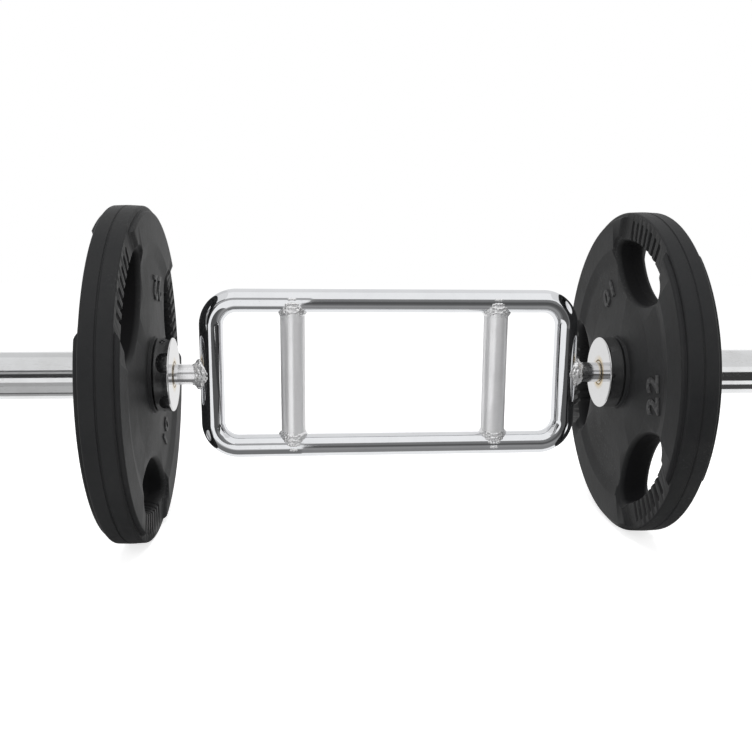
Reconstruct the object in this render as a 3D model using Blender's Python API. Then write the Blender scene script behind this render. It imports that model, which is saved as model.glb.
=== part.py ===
"""Triceps bar with a three-grip rubber weight plate on each sleeve.

The bar lies along X and its frame stands in the XZ plane. The plates stand on the ground at
z = 0, with the origin under the middle of the bar. Sizes are in metres.
"""

from math import acos, atan2, cos, pi, radians, sin, sqrt

import bmesh
import bpy
from mathutils import Matrix

# Clearances
SEAT_GAP = 0.0003
RUNNING_GAP = 0.0003
END_PLAY = 0.0003
WELD_DISTANCE = 0.000001

# Frame: one rod bent to a rounded rectangle, with two handles across it
FRAME_WIDTH = 0.410
FRAME_HEIGHT = 0.183
ROD_DIAMETER = 0.025
BEND_RADIUS = 0.027
HANDLE_DIAMETER = 0.026
HANDLE_SPACING = 0.2204
HANDLES_OFF_CENTRE = 0.0032
HANDLE_COPE_DEPTH = 0.0075
HANDLE_BEAD_THICKNESS = 0.0030
HANDLE_BEAD_RISE = 0.0075
SHAFT_BEAD_THICKNESS = 0.0042
SHAFT_BEAD_RUN = 0.0095
BEAD_WRAP = 0.0090

# Shafts: round bar, stepped down to a journal inside each sleeve
STUB_LENGTH = 0.027
SHAFT_DIAMETER = 0.022
SHAFT_COPE_DEPTH = 0.0075
JOURNAL_DIAMETER = 0.019
SHOULDER_CHAMFER = 0.0008

# Sleeves: tube with a collar at the frame and a plug at the end, turning on two bushings
SLEEVE_LENGTH = 0.184
SLEEVE_DIAMETER = 0.050
SLEEVE_WALL = 0.0045
COLLAR_DIAMETER = 0.078
COLLAR_THICKNESS = 0.016
COLLAR_CHAMFER = 0.0012
COLLAR_SPIGOT_LENGTH = 0.030
BUSHING_DIAMETER = 0.0275
INNER_BUSHING_LENGTH = 0.044
OUTER_BUSHING_LENGTH = 0.026
PLUG_FLANGE_THICKNESS = 0.005
PLUG_CHAMFER = 0.0015
PLUG_LENGTH = 0.048
PLUG_RECESS_DIAMETER = 0.036
PLUG_RECESS_DEPTH = 0.018
WASHER_DIAMETER = 0.030
WASHER_THICKNESS = 0.003
BOLT_DIAMETER = 0.010
BOLT_LENGTH = 0.028
BOLT_HEAD_DIAMETER = 0.016
BOLT_HEAD_HEIGHT = 0.010
BOLT_KEY_SIZE = 0.008
BOLT_KEY_DEPTH = 0.005
BOLT_HOLE_SPARE = 0.002

# Plates: an iron core in a moulded rubber jacket, on a steel hub ring
PLATE_DIAMETER = 0.352
HUB_WIDTH = 0.0436
HUB_FACE_SETBACK = 0.0006
HUB_PAD_DIAMETER = 0.092
HUB_RING_DIAMETER = 0.064
HUB_RING_CHAMFER = 0.0010
PANEL_WIDTH = 0.0392
PANEL_EDGE_ROUND = 0.0018
RIM_LEDGE = 0.0055
WEB_WIDTH = 0.0352
WEB_SLOPE = 0.006
WEB_EDGE_TO_GRIP_BAR = 0.0075
RIM_WIDTH = 0.0302
RIM_CHAMFER = 0.0026
PARTING_RIDGE = 0.0008
GRIP_COUNT = 3
GRIP_BAR_WIDTH = 0.0294
GRIP_BAR_DEPTH = 0.0305
GRIP_BAR_ANGLE = radians(50)
GRIP_BAR_SLOPE = 0.0030
GRIP_HEIGHT = 0.0525
GRIP_HUB_SIDE_RADIUS = 0.1015
GRIP_CORNER_RADIUS = 0.010
FINGER_GROOVES = 7
FINGER_PITCH = radians(4.3)
FINGER_GROOVE_WIDTH = 0.0042
FINGER_GROOVE_DEPTH = 0.0026
FINGER_GROOVE_REACH = 0.022
JACKET_WALL = 0.0045
CORE_HUB_WIDTH = 0.034
CORE_HUB_DIAMETER = 0.100
CORE_WEB_WIDTH = 0.0145
CORE_EDGE_COVER = 0.009
PLATE_TURN = {"left": radians(50), "right": radians(20)}

# Facets
PLATE_FACETS = 48
CORE_FACETS = 24
ROUND_FACETS = 24
SMALL_FACETS = 16
ROD_SIDES = 16
BEND_STEPS = 6
GRIP_BAR_STEPS = 6
GRIP_STEPS = (4, 3, 5)
CORE_GRIP_STEPS = (2, 2, 3)

# Places worked out from the sizes above
SIDES = {"left": -1, "right": 1}
PLATE_RADIUS = PLATE_DIAMETER / 2
PANEL_RADIUS = PLATE_RADIUS - RIM_LEDGE
GRIP_BAR_RADIUS = PLATE_RADIUS - GRIP_BAR_DEPTH
WEB_RADIUS = GRIP_BAR_RADIUS - WEB_EDGE_TO_GRIP_BAR
CORE_RADIUS = PLATE_RADIUS - CORE_EDGE_COVER
AXIS_HEIGHT = PLATE_RADIUS * cos(pi / PLATE_FACETS)
ROD_RADIUS = ROD_DIAMETER / 2
RAIL_HEIGHT = FRAME_HEIGHT / 2 - ROD_RADIUS
POST_X = FRAME_WIDTH / 2 - ROD_RADIUS
COLLAR_X = FRAME_WIDTH / 2 + STUB_LENGTH
SEAT_X = COLLAR_X + COLLAR_THICKNESS
END_X = SEAT_X + SLEEVE_LENGTH
BUSHING_END_X = END_X - PLUG_RECESS_DEPTH
SHAFT_END_X = BUSHING_END_X + END_PLAY
WASHER_X = SHAFT_END_X + SEAT_GAP
BOLT_X = WASHER_X + WASHER_THICKNESS + SEAT_GAP
PLATE_X = SEAT_X + SEAT_GAP + HUB_WIDTH / 2
TUBE_BORE_RADIUS = SLEEVE_DIAMETER / 2 - SLEEVE_WALL
SPIGOT_RADIUS = TUBE_BORE_RADIUS - SEAT_GAP
BUSHING_RADIUS = BUSHING_DIAMETER / 2
JACKET_BORE_RADIUS = HUB_RING_DIAMETER / 2 + SEAT_GAP

CHROME = ("chrome", (0.80, 0.80, 0.82), 0.08, 1.0)
KNURLED = ("knurled_chrome", (0.72, 0.72, 0.74), 0.32, 1.0)
WELD = ("weld_bead", (0.75, 0.75, 0.76), 0.25, 1.0)
STEEL = ("bare_steel", (0.55, 0.55, 0.56), 0.35, 1.0)
BRONZE = ("bronze", (0.55, 0.36, 0.14), 0.40, 1.0)
IRON = ("cast_iron", (0.10, 0.10, 0.11), 0.70, 0.6)
RUBBER = ("rubber", (0.035, 0.035, 0.038), 0.55, 0.0)


def clear_scene():
    for thing in list(bpy.data.objects):
        bpy.data.objects.remove(thing, do_unlink=True)


def finish_of(name, finish):
    kind, colour, roughness, metallic = finish
    material = bpy.data.materials.new(f"{name}_{kind}")
    material.use_nodes = True
    shader = material.node_tree.nodes["Principled BSDF"]
    shader.inputs["Base Color"].default_value = (*colour, 1.0)
    shader.inputs["Roughness"].default_value = roughness
    shader.inputs["Metallic"].default_value = metallic
    return material


def add_empty(name, x, z, turn=0.0, parent=None):
    marker = bpy.data.objects.new(name, None)
    bpy.context.collection.objects.link(marker)
    marker.parent = parent
    marker.location = (x, 0.0, z)
    marker.rotation_euler = (turn, 0.0, 0.0)
    return marker


def add_piece(name, bm, finish, parent):
    """Makes the named sub-part from a mesh built about the parent's origin."""
    bmesh.ops.remove_doubles(bm, verts=bm.verts, dist=WELD_DISTANCE)
    bmesh.ops.recalc_face_normals(bm, faces=bm.faces)
    mesh = bpy.data.meshes.new(name)
    bm.to_mesh(mesh)
    bm.free()
    mesh.shade_smooth()
    mesh.set_sharp_from_angle(angle=radians(35))
    piece = bpy.data.objects.new(name, mesh)
    bpy.context.collection.objects.link(piece)
    piece.parent = parent
    if finish:
        mesh.materials.append(finish_of(name, finish))
    else:
        piece.hide_render = True
        piece.display_type = "WIRE"
    return piece


def cut(piece, *cutters, solver="EXACT"):
    for cutter in cutters:
        boolean = piece.modifiers.new(f"cut_{cutter.name}", "BOOLEAN")
        boolean.operation = "DIFFERENCE"
        boolean.object = cutter
        boolean.solver = solver


def turned(profile, facets, side=1, axis="X", sweep=2 * pi):
    """Turns a profile of (along the axis, radius) points about the bar's axis, or about Z."""
    bm = bmesh.new()
    spots = [bm.verts.new((side * along, 0.0, radius)) for along, radius in profile]
    pairs = list(zip(spots, spots[1:]))
    if profile[0][1] > 0.0:
        pairs.append((spots[-1], spots[0]))
    edges = [bm.edges.new(pair) for pair in pairs]
    full = sweep > 2 * pi - 0.001
    bmesh.ops.rotate(bm, verts=spots, matrix=Matrix.Rotation(-sweep / 2, 3, "X"))
    bmesh.ops.spin(
        bm, geom=spots + edges, axis=(1, 0, 0), angle=sweep, steps=facets, use_merge=full
    )
    if not full:
        bmesh.ops.holes_fill(bm, edges=bm.edges)
    bmesh.ops.remove_doubles(bm, verts=bm.verts, dist=WELD_DISTANCE)
    if axis == "Z":
        bmesh.ops.rotate(bm, verts=bm.verts, matrix=Matrix.Rotation(-pi / 2, 3, "Y"))
    return bm


def ring_profile(start, end, inner, outer, chamfer=0.0):
    if not chamfer:
        return [(start, inner), (start, outer), (end, outer), (end, inner)]
    return [
        (start, inner),
        (start, outer - chamfer),
        (start + chamfer, outer),
        (end - chamfer, outer),
        (end, outer - chamfer),
        (end, inner),
    ]


def prism(outline, start, end, axis):
    """Extrudes a flat outline of (first, second) points along X or Y."""
    bm = bmesh.new()
    if axis == "X":
        spots = [bm.verts.new((start, a, b)) for a, b in outline]
        path = (end - start, 0.0, 0.0)
    else:
        spots = [bm.verts.new((a, start, b)) for a, b in outline]
        path = (0.0, end - start, 0.0)
    cap = bm.faces.new(spots)
    raised = bmesh.ops.extrude_face_region(bm, geom=[cap], use_keep_orig=True)
    verts = [item for item in raised["geom"] if isinstance(item, bmesh.types.BMVert)]
    bmesh.ops.translate(bm, verts=verts, vec=path)
    return bm


def copies_about_bar(bm, turns):
    """Repeats a mesh at each turn about the bar's axis, as separate bodies of one cutter."""
    whole = bmesh.new()
    pattern = bpy.data.meshes.new("pattern")
    bmesh.ops.recalc_face_normals(bm, faces=bm.faces)
    bm.to_mesh(pattern)
    bm.free()
    for turn in turns:
        before = len(whole.verts)
        whole.from_mesh(pattern)
        whole.verts.ensure_lookup_table()
        added = whole.verts[before:]
        bmesh.ops.rotate(whole, verts=added, matrix=Matrix.Rotation(turn, 3, "X"))
    bpy.data.meshes.remove(pattern)
    return whole


def only(kind, geometry):
    return [item for item in geometry if isinstance(item, kind)]


def loop_mesh(radius):
    """The rod of the frame: a circle drawn along four straights and round four bends."""
    bm = bmesh.new()
    corner_x = POST_X - BEND_RADIUS
    corner_z = RAIL_HEIGHT - BEND_RADIUS
    start = Matrix.Translation((-corner_x, 0.0, RAIL_HEIGHT)) @ Matrix.Rotation(pi / 2, 4, "Y")
    circle = bmesh.ops.create_circle(bm, segments=ROD_SIDES, radius=radius, matrix=start)
    edges = list({edge for vert in circle["verts"] for edge in vert.link_edges})
    straights = [
        ((2 * corner_x, 0.0, 0.0), (corner_x, 0.0, corner_z)),
        ((0.0, 0.0, -2 * corner_z), (corner_x, 0.0, -corner_z)),
        ((-2 * corner_x, 0.0, 0.0), (-corner_x, 0.0, -corner_z)),
        ((0.0, 0.0, 2 * corner_z), (-corner_x, 0.0, corner_z)),
    ]
    for path, centre in straights:
        drawn = bmesh.ops.extrude_edge_only(bm, edges=edges)["geom"]
        verts = only(bmesh.types.BMVert, drawn)
        bmesh.ops.translate(bm, verts=verts, vec=path)
        geometry = verts + only(bmesh.types.BMEdge, drawn)
        bent = bmesh.ops.spin(
            bm, geom=geometry, cent=centre, axis=(0, 1, 0), angle=pi / 2, steps=BEND_STEPS
        )
        edges = only(bmesh.types.BMEdge, bent["geom_last"])
    return bm


def build_frame(bar):
    add_piece("frame_loop", loop_mesh(ROD_RADIUS), CHROME, bar)
    rod_cutter = add_piece("rod_cutter", loop_mesh(ROD_RADIUS + SEAT_GAP), None, bar)
    for side_name, side in SIDES.items():
        build_handle(side_name, side, rod_cutter, bar)
        build_shaft(side_name, side, rod_cutter, bar)
        build_end_fixing(side_name, side, bar)


def build_handle(side_name, side, rod_cutter, bar):
    """One knurled cross handle, coped onto both rails, with a weld bead at each end."""
    x = HANDLES_OFF_CENTRE + side * HANDLE_SPACING / 2
    radius = HANDLE_DIAMETER / 2
    reach = RAIL_HEIGHT - ROD_RADIUS + HANDLE_COPE_DEPTH
    profile = [(-reach, 0.0), (-reach, radius), (reach, radius), (reach, 0.0)]
    handle = add_piece(f"handle_{side_name}", turned(profile, ROD_SIDES, axis="Z"), KNURLED, bar)
    handle.location.x = x
    cut(handle, rod_cutter)
    for level, up in (("top", 1), ("bottom", -1)):
        bead = weld_bead(radius, HANDLE_BEAD_THICKNESS, HANDLE_BEAD_RISE)
        profile = [(up * (RAIL_HEIGHT - along), across) for along, across in bead]
        name = f"weld_handle_{side_name}_{level}"
        weld = add_piece(name, turned(profile, ROD_SIDES, axis="Z"), WELD, bar)
        weld.location.x = x
        cut(weld, rod_cutter)


def weld_bead(radius, thickness, rise):
    """Outline of a bead round a bar, as (distance from the rod's middle, radius) points."""
    start = ROD_RADIUS - BEAD_WRAP
    end = ROD_RADIUS + rise
    inner = radius + SEAT_GAP
    outer = radius + thickness
    return [
        (start, inner),
        (start, outer - thickness / 4),
        (start + BEAD_WRAP / 2, outer),
        (ROD_RADIUS + rise / 2, radius + thickness * 2 / 3),
        (end, radius + thickness / 6),
        (end, inner),
    ]


def build_shaft(side_name, side, rod_cutter, bar):
    """The shaft welded to the frame's post: plain as far as the collar, then a journal."""
    start = FRAME_WIDTH / 2 - SHAFT_COPE_DEPTH
    radius = SHAFT_DIAMETER / 2
    journal = JOURNAL_DIAMETER / 2
    shoulder = COLLAR_X - END_PLAY
    hole = BOLT_DIAMETER / 2 + SEAT_GAP
    hole_end = BOLT_X - BOLT_LENGTH - BOLT_HOLE_SPARE
    profile = [
        (start, 0.0),
        (start, radius),
        (shoulder - SHOULDER_CHAMFER, radius),
        (shoulder, radius - SHOULDER_CHAMFER),
        (shoulder, journal),
        (SHAFT_END_X, journal),
        (SHAFT_END_X, hole),
        (hole_end, hole),
        (hole_end, 0.0),
    ]
    shaft = add_piece(f"shaft_{side_name}", turned(profile, SMALL_FACETS, side), CHROME, bar)
    bead = weld_bead(radius, SHAFT_BEAD_THICKNESS, SHAFT_BEAD_RUN)
    profile = [(POST_X + along, across) for along, across in bead]
    weld = add_piece(f"weld_shaft_{side_name}", turned(profile, SMALL_FACETS, side), WELD, bar)
    cut(shaft, rod_cutter)
    cut(weld, rod_cutter)


def build_end_fixing(side_name, side, bar):
    """Washer and socket-head bolt that hold the sleeve on the end of the shaft."""
    shank = BOLT_DIAMETER / 2
    washer = ring_profile(
        WASHER_X, WASHER_X + WASHER_THICKNESS, shank + SEAT_GAP, WASHER_DIAMETER / 2
    )
    add_piece(f"end_washer_{side_name}", turned(washer, SMALL_FACETS, side), STEEL, bar)
    head_end = BOLT_X + BOLT_HEAD_HEIGHT
    profile = [
        (BOLT_X - BOLT_LENGTH, 0.0),
        (BOLT_X - BOLT_LENGTH, shank),
        (BOLT_X, shank),
        (BOLT_X, BOLT_HEAD_DIAMETER / 2),
        (head_end, BOLT_HEAD_DIAMETER / 2),
        (head_end, 0.0),
    ]
    bolt = add_piece(f"end_bolt_{side_name}", turned(profile, SMALL_FACETS, side), STEEL, bar)
    corner = BOLT_KEY_SIZE / sqrt(3)
    floor = head_end - BOLT_KEY_DEPTH
    socket = [(floor, 0.0), (floor, corner), (END_X, corner), (END_X, 0.0)]
    key = add_piece(f"key_cutter_{side_name}", turned(socket, 6, side), None, bar)
    cut(bolt, key)


def build_sleeve(side_name, side, bar):
    """Everything that turns about the shaft: collar, tube, end plug and two bushings."""
    sleeve = add_empty(f"{side_name}_sleeve_axis", 0.0, 0.0, parent=bar)
    build_collar(side_name, side, sleeve)
    build_tube_and_plug(side_name, side, sleeve)
    build_bushings(side_name, side, sleeve)
    return sleeve


def build_collar(side_name, side, sleeve):
    bore = BUSHING_RADIUS + SEAT_GAP
    outer = COLLAR_DIAMETER / 2
    spigot_end = SEAT_X + COLLAR_SPIGOT_LENGTH
    profile = [
        (COLLAR_X, bore),
        (COLLAR_X, outer - COLLAR_CHAMFER),
        (COLLAR_X + COLLAR_CHAMFER, outer),
        (SEAT_X - COLLAR_CHAMFER, outer),
        (SEAT_X, outer - COLLAR_CHAMFER),
        (SEAT_X, SPIGOT_RADIUS),
        (spigot_end, SPIGOT_RADIUS),
        (spigot_end, bore),
    ]
    add_piece(f"collar_{side_name}", turned(profile, ROUND_FACETS, side), CHROME, sleeve)


def build_tube_and_plug(side_name, side, sleeve):
    outer = SLEEVE_DIAMETER / 2
    flange_x = END_X - PLUG_FLANGE_THICKNESS
    tube = ring_profile(SEAT_X + SEAT_GAP, flange_x - SEAT_GAP, TUBE_BORE_RADIUS, outer)
    add_piece(f"sleeve_tube_{side_name}", turned(tube, ROUND_FACETS, side), CHROME, sleeve)
    bore = BUSHING_RADIUS + SEAT_GAP
    recess = PLUG_RECESS_DIAMETER / 2
    start = END_X - PLUG_LENGTH
    profile = [
        (start, bore),
        (start, SPIGOT_RADIUS),
        (flange_x, SPIGOT_RADIUS),
        (flange_x, outer),
        (END_X - PLUG_CHAMFER, outer),
        (END_X, outer - PLUG_CHAMFER),
        (END_X, recess),
        (BUSHING_END_X, recess),
        (BUSHING_END_X, bore),
    ]
    add_piece(f"end_plug_{side_name}", turned(profile, ROUND_FACETS, side), CHROME, sleeve)


def build_bushings(side_name, side, sleeve):
    inner = JOURNAL_DIAMETER / 2 + RUNNING_GAP
    spans = {
        "inner": (COLLAR_X, COLLAR_X + INNER_BUSHING_LENGTH),
        "outer": (BUSHING_END_X - OUTER_BUSHING_LENGTH, BUSHING_END_X),
    }
    for place, (start, end) in spans.items():
        profile = ring_profile(start, end, inner, BUSHING_RADIUS)
        name = f"{place}_bushing_{side_name}"
        add_piece(name, turned(profile, SMALL_FACETS, side), BRONZE, sleeve)


def mirrored(half):
    """A plate's whole outline from one face's (out from the middle, radius) points."""
    return [(x, r) for x, r in half] + [(-x, r) for x, r in reversed(half)]


def jacket_outline():
    """Hub pad, sunken web, raised panel and rim, from the bore to the parting ridge."""
    hub = HUB_WIDTH / 2 - HUB_FACE_SETBACK
    panel = PANEL_WIDTH / 2
    web = WEB_WIDTH / 2
    rim = RIM_WIDTH / 2
    pad_radius = HUB_PAD_DIAMETER / 2
    ledge_radius = PLATE_RADIUS - PARTING_RIDGE
    half = [
        (hub, JACKET_BORE_RADIUS),
        (hub, pad_radius),
        (web, pad_radius + WEB_SLOPE),
        (web, WEB_RADIUS - WEB_SLOPE),
        (panel, WEB_RADIUS),
        (panel, PANEL_RADIUS - PANEL_EDGE_ROUND),
        (panel - PANEL_EDGE_ROUND, PANEL_RADIUS),
        (rim, PANEL_RADIUS),
        (rim, ledge_radius - RIM_CHAMFER),
        (rim - RIM_CHAMFER, ledge_radius),
    ]
    return half + [(0.0, PLATE_RADIUS)] + mirrored(half)[len(half) :]


def arc(centre_z, radius, start, end, steps):
    """Points of an arc about (0, centre_z), with angles from +Z towards +Y."""
    turns = [start + (end - start) * step / steps for step in range(steps + 1)]
    return [(radius * sin(turn), centre_z + radius * cos(turn)) for turn in turns]


def grip_outline(grow, steps):
    """A grip hole: the grip bar's arc outside, a wider bow towards the hub, round corners."""
    bar_steps, corner_steps, bow_steps = steps
    bar = GRIP_BAR_RADIUS + grow
    bow = GRIP_HUB_SIDE_RADIUS + grow
    corner = GRIP_CORNER_RADIUS + grow
    bow_z = GRIP_BAR_RADIUS - GRIP_HEIGHT + GRIP_HUB_SIDE_RADIUS
    corner_z = ((bar - corner) ** 2 - (bow - corner) ** 2 + bow_z**2) / (2 * bow_z)
    bar_turn = acos(corner_z / (bar - corner))
    corner_y = (bar - corner) * sin(bar_turn)
    bow_turn = atan2(corner_y, corner_z - bow_z)
    corner_arc = arc(corner_z, corner, bar_turn, bow_turn, corner_steps)
    right = arc(0.0, bar, 0.0, bar_turn, bar_steps)[:-1]
    right += [(corner_y + y, z) for y, z in corner_arc]
    right += arc(bow_z, bow, bow_turn, pi, bow_steps)[1:]
    left = [(-y, z) for y, z in reversed(right[1:-1])]
    return right + left


def grip_turns():
    return [2 * pi * number / GRIP_COUNT for number in range(GRIP_COUNT)]


def grip_cutter(name, grow, steps, parent):
    bm = prism(grip_outline(grow, steps), -HUB_WIDTH, HUB_WIDTH, "X")
    return add_piece(name, copies_about_bar(bm, grip_turns()), None, parent)


def grip_bar_cutter(name, parent):
    """Sinks both faces of the rim beside each grip, sloping down to the hole."""
    face = GRIP_BAR_WIDTH / 2
    inner = GRIP_BAR_RADIUS - GRIP_CORNER_RADIUS
    slope_end = GRIP_BAR_RADIUS + 2 * GRIP_BAR_SLOPE
    top = HUB_WIDTH
    bodies = bmesh.new()
    for side in (-1, 1):
        profile = [
            (side * (face - GRIP_BAR_SLOPE), inner),
            (side * face, slope_end),
            (side * face, PLATE_DIAMETER),
            (side * top, PLATE_DIAMETER),
            (side * top, inner),
        ]
        sector = turned(profile, GRIP_BAR_STEPS, sweep=GRIP_BAR_ANGLE)
        pattern = bpy.data.meshes.new("sector")
        sector.to_mesh(pattern)
        sector.free()
        bodies.from_mesh(pattern)
        bpy.data.meshes.remove(pattern)
    return add_piece(name, copies_about_bar(bodies, grip_turns()), None, parent)


def finger_cutter(name, parent):
    """Grooves that wrap the grip bar from one face, round the hole's edge, to the other."""
    face = GRIP_BAR_WIDTH / 2
    depth = FINGER_GROOVE_DEPTH
    reach = GRIP_BAR_RADIUS + FINGER_GROOVE_REACH
    inner = GRIP_BAR_RADIUS - GRIP_CORNER_RADIUS
    top = HUB_WIDTH
    half = [
        (top, inner),
        (top, reach),
        (face - depth / 3, reach),
        (face - depth, GRIP_BAR_RADIUS + 2 * depth),
        (face - 2.5 * depth, GRIP_BAR_RADIUS + depth),
    ]
    width = FINGER_GROOVE_WIDTH
    bm = prism(mirrored(half), -width / 2, width / 2, "Y")
    first = -(FINGER_GROOVES - 1) / 2
    turns = [
        grip + (first + number) * FINGER_PITCH
        for grip in grip_turns()
        for number in range(FINGER_GROOVES)
    ]
    return add_piece(name, copies_about_bar(bm, turns), None, parent)


def core_outline(grow, bore_radius):
    """A thick hub and a flat web out to the rim."""
    hub = CORE_HUB_WIDTH / 2 + grow
    web = CORE_WEB_WIDTH / 2 + grow
    hub_radius = CORE_HUB_DIAMETER / 2 + grow
    return mirrored(
        [
            (hub, bore_radius),
            (hub, hub_radius),
            (web, hub_radius + WEB_SLOPE),
            (web, CORE_RADIUS + grow),
        ]
    )


def core_piece(name, grow, bore_radius, finish, parent):
    core = add_piece(name, turned(core_outline(grow, bore_radius), CORE_FACETS), finish, parent)
    cut(core, grip_cutter(f"{name}_grips", JACKET_WALL - grow, CORE_GRIP_STEPS, parent))
    return core


def flat_side_down(turn):
    """The turn nearest to the one asked for that rests a facet of the rim on the ground."""
    step = 2 * pi / PLATE_FACETS
    rest = pi - step / 2
    return rest - step * round((rest - turn) / step)


def build_plate(side_name, side, sleeve):
    """One plate, which slides off the end of its sleeve: rubber jacket, core and hub ring.

    The hollow for the core runs on into the jacket's bore, so it isn't a sealed space. The exact
    solver leaves open edges where the finger grooves meet the sunk grip bar, hence the other one.
    """
    turn = flat_side_down(PLATE_TURN[side_name])
    plate = add_empty(f"{side_name}_plate_seat", side * PLATE_X, 0.0, turn, sleeve)
    name = f"plate_rubber_{side_name}"
    jacket = add_piece(name, turned(jacket_outline(), PLATE_FACETS), RUBBER, plate)
    hollow = core_piece(f"hollow_{side_name}", SEAT_GAP, HUB_RING_DIAMETER / 4, None, plate)
    cut(
        jacket,
        grip_cutter(f"grip_cutter_{side_name}", 0.0, GRIP_STEPS, plate),
        grip_bar_cutter(f"grip_bar_cutter_{side_name}", plate),
        finger_cutter(f"finger_cutter_{side_name}", plate),
        hollow,
        solver="MANIFOLD",
    )
    core_piece(f"plate_core_{side_name}", 0.0, JACKET_BORE_RADIUS, IRON, plate)
    bore = SLEEVE_DIAMETER / 2 + RUNNING_GAP
    face = HUB_WIDTH / 2
    ring = ring_profile(-face, face, bore, HUB_RING_DIAMETER / 2, HUB_RING_CHAMFER)
    add_piece(f"plate_hub_ring_{side_name}", turned(ring, ROUND_FACETS), STEEL, plate)


clear_scene()
bar_axis = add_empty("bar_axis", 0.0, AXIS_HEIGHT)
build_frame(bar_axis)
for end_name, end_side in SIDES.items():
    turning_sleeve = build_sleeve(end_name, end_side, bar_axis)
    build_plate(end_name, end_side, turning_sleeve)
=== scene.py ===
"""The looks of a triceps bar with a three-grip rubber plate on each sleeve.

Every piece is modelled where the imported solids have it, in metres: the bar lies along X, its
frame stands in the XZ plane, and the plates stand on the ground at z = 0.
"""

from math import acos, atan2, cos, hypot, pi, radians, sin, sqrt, tan

import bmesh
import bpy
from mathutils import Matrix, Vector, noise


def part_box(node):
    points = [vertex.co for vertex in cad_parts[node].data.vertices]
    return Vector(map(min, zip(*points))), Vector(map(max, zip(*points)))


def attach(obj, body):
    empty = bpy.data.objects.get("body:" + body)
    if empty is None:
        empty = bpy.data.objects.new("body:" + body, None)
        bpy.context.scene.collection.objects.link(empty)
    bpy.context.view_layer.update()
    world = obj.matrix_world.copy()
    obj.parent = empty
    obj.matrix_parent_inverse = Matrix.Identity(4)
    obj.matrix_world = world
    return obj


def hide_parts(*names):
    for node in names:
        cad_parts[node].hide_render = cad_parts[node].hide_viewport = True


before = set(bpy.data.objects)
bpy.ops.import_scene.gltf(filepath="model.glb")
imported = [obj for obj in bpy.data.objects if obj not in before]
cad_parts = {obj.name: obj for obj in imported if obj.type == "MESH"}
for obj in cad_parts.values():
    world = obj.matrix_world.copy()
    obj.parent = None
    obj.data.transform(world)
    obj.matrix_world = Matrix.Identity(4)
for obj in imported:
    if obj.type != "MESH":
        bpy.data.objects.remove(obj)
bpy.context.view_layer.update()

# Frame: one 25 mm steel rod bent round four corners to a rectangle, joined end to end and
# ground flush, then polished and chrome plated. The plating waves a little, so that the lines
# it mirrors waver, and hands leave faint smudges and hairline scratches on it.
FRAME_WIDTH = 0.410
FRAME_HEIGHT = 0.183
ROD_RADIUS = 0.0125
BEND_RADIUS = 0.027
POST_X = FRAME_WIDTH / 2 - ROD_RADIUS
RAIL_HEIGHT = FRAME_HEIGHT / 2 - ROD_RADIUS
shaft_low, shaft_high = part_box("shaft_right")
AXIS = (shaft_low.z + shaft_high.z) / 2


def pick(piece):
    """Makes a piece the only one that is selected."""
    bpy.ops.object.select_all(action="DESELECT")
    piece.select_set(True)
    bpy.context.view_layer.objects.active = piece


def open_up(name):
    """Names the primitive just added, and opens it for shaping with all of it selected."""
    piece = bpy.context.object
    piece.name = piece.data.name = name
    bpy.ops.object.mode_set(mode="EDIT")
    bpy.ops.mesh.select_all(action="SELECT")
    return piece


def close_up(piece):
    """Ends the shaping: doubles merged, faces outwards, and the place put into the mesh."""
    bpy.ops.mesh.select_all(action="SELECT")
    bpy.ops.mesh.remove_doubles(threshold=0.000002)
    bpy.ops.mesh.normals_make_consistent(inside=False)
    bpy.ops.object.mode_set(mode="OBJECT")
    bpy.ops.object.transform_apply(location=True, rotation=True, scale=True)
    return piece


def finish(piece, material, body, slot, *nodes, crease=35):
    """Gives a piece its smooth faces and its material, and says what it rides on."""
    pick(piece)
    bpy.ops.object.shade_smooth_by_angle(angle=radians(crease))
    piece.data.materials.clear()
    piece.data.materials.append(material)
    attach(piece, body)
    if nodes:
        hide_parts(*nodes)


def fill(tree, node, inputs):
    """Sets inputs of a node: a socket is linked, and anything else is a plain value."""
    for label, value in inputs.items():
        if isinstance(value, bpy.types.NodeSocket):
            tree.links.new(value, node.inputs[label])
        else:
            node.inputs[label].default_value = value
    return node


def add(tree, kind, inputs=None, **settings):
    """Adds a shader node with its settings and its inputs."""
    node = tree.nodes.new(kind)
    for label, value in settings.items():
        setattr(node, label, value)
    return fill(tree, node, inputs or {})


def new_group(name, inputs, outputs):
    """Starts a shader node group with named sockets, and returns its tree, inputs and end."""
    tree = bpy.data.node_groups.new(name, "ShaderNodeTree")
    for label, (kind, value) in inputs.items():
        socket = tree.interface.new_socket(label, in_out="INPUT", socket_type=kind)
        if value is not None:
            socket.default_value = value
    for label, kind in outputs.items():
        tree.interface.new_socket(label, in_out="OUTPUT", socket_type=kind)
    return tree, tree.nodes.new("NodeGroupInput").outputs, tree.nodes.new("NodeGroupOutput")


def placed(tree, group, inputs):
    """Places a node group in a material, with its own values, and returns its outputs."""
    return add(tree, "ShaderNodeGroup", inputs, node_tree=group).outputs


def new_material(name, **plain):
    """Starts a material on the piece's own coordinates, with plain values on its shader."""
    material = bpy.data.materials.new(name)
    material.use_nodes = True
    tree = material.node_tree
    shader = tree.nodes["Principled BSDF"]
    for label, value in plain.items():
        shader.inputs[label.replace("_", " ")].default_value = value
    return material, tree, shader, add(tree, "ShaderNodeTexCoord").outputs["Object"]


def shade_range(tree, value, low, high, start=0.0, end=1.0):
    """Spreads a value between start and end over low to high."""
    limits = {"From Min": low, "From Max": high, "To Min": start, "To Max": end}
    return add(tree, "ShaderNodeMapRange", {"Value": value, **limits}).outputs["Result"]


def maths(tree, operation, first, second=0.0):
    """One step of arithmetic on values."""
    return add(tree, "ShaderNodeMath", {0: first, 1: second}, operation=operation).outputs[0]


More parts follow.
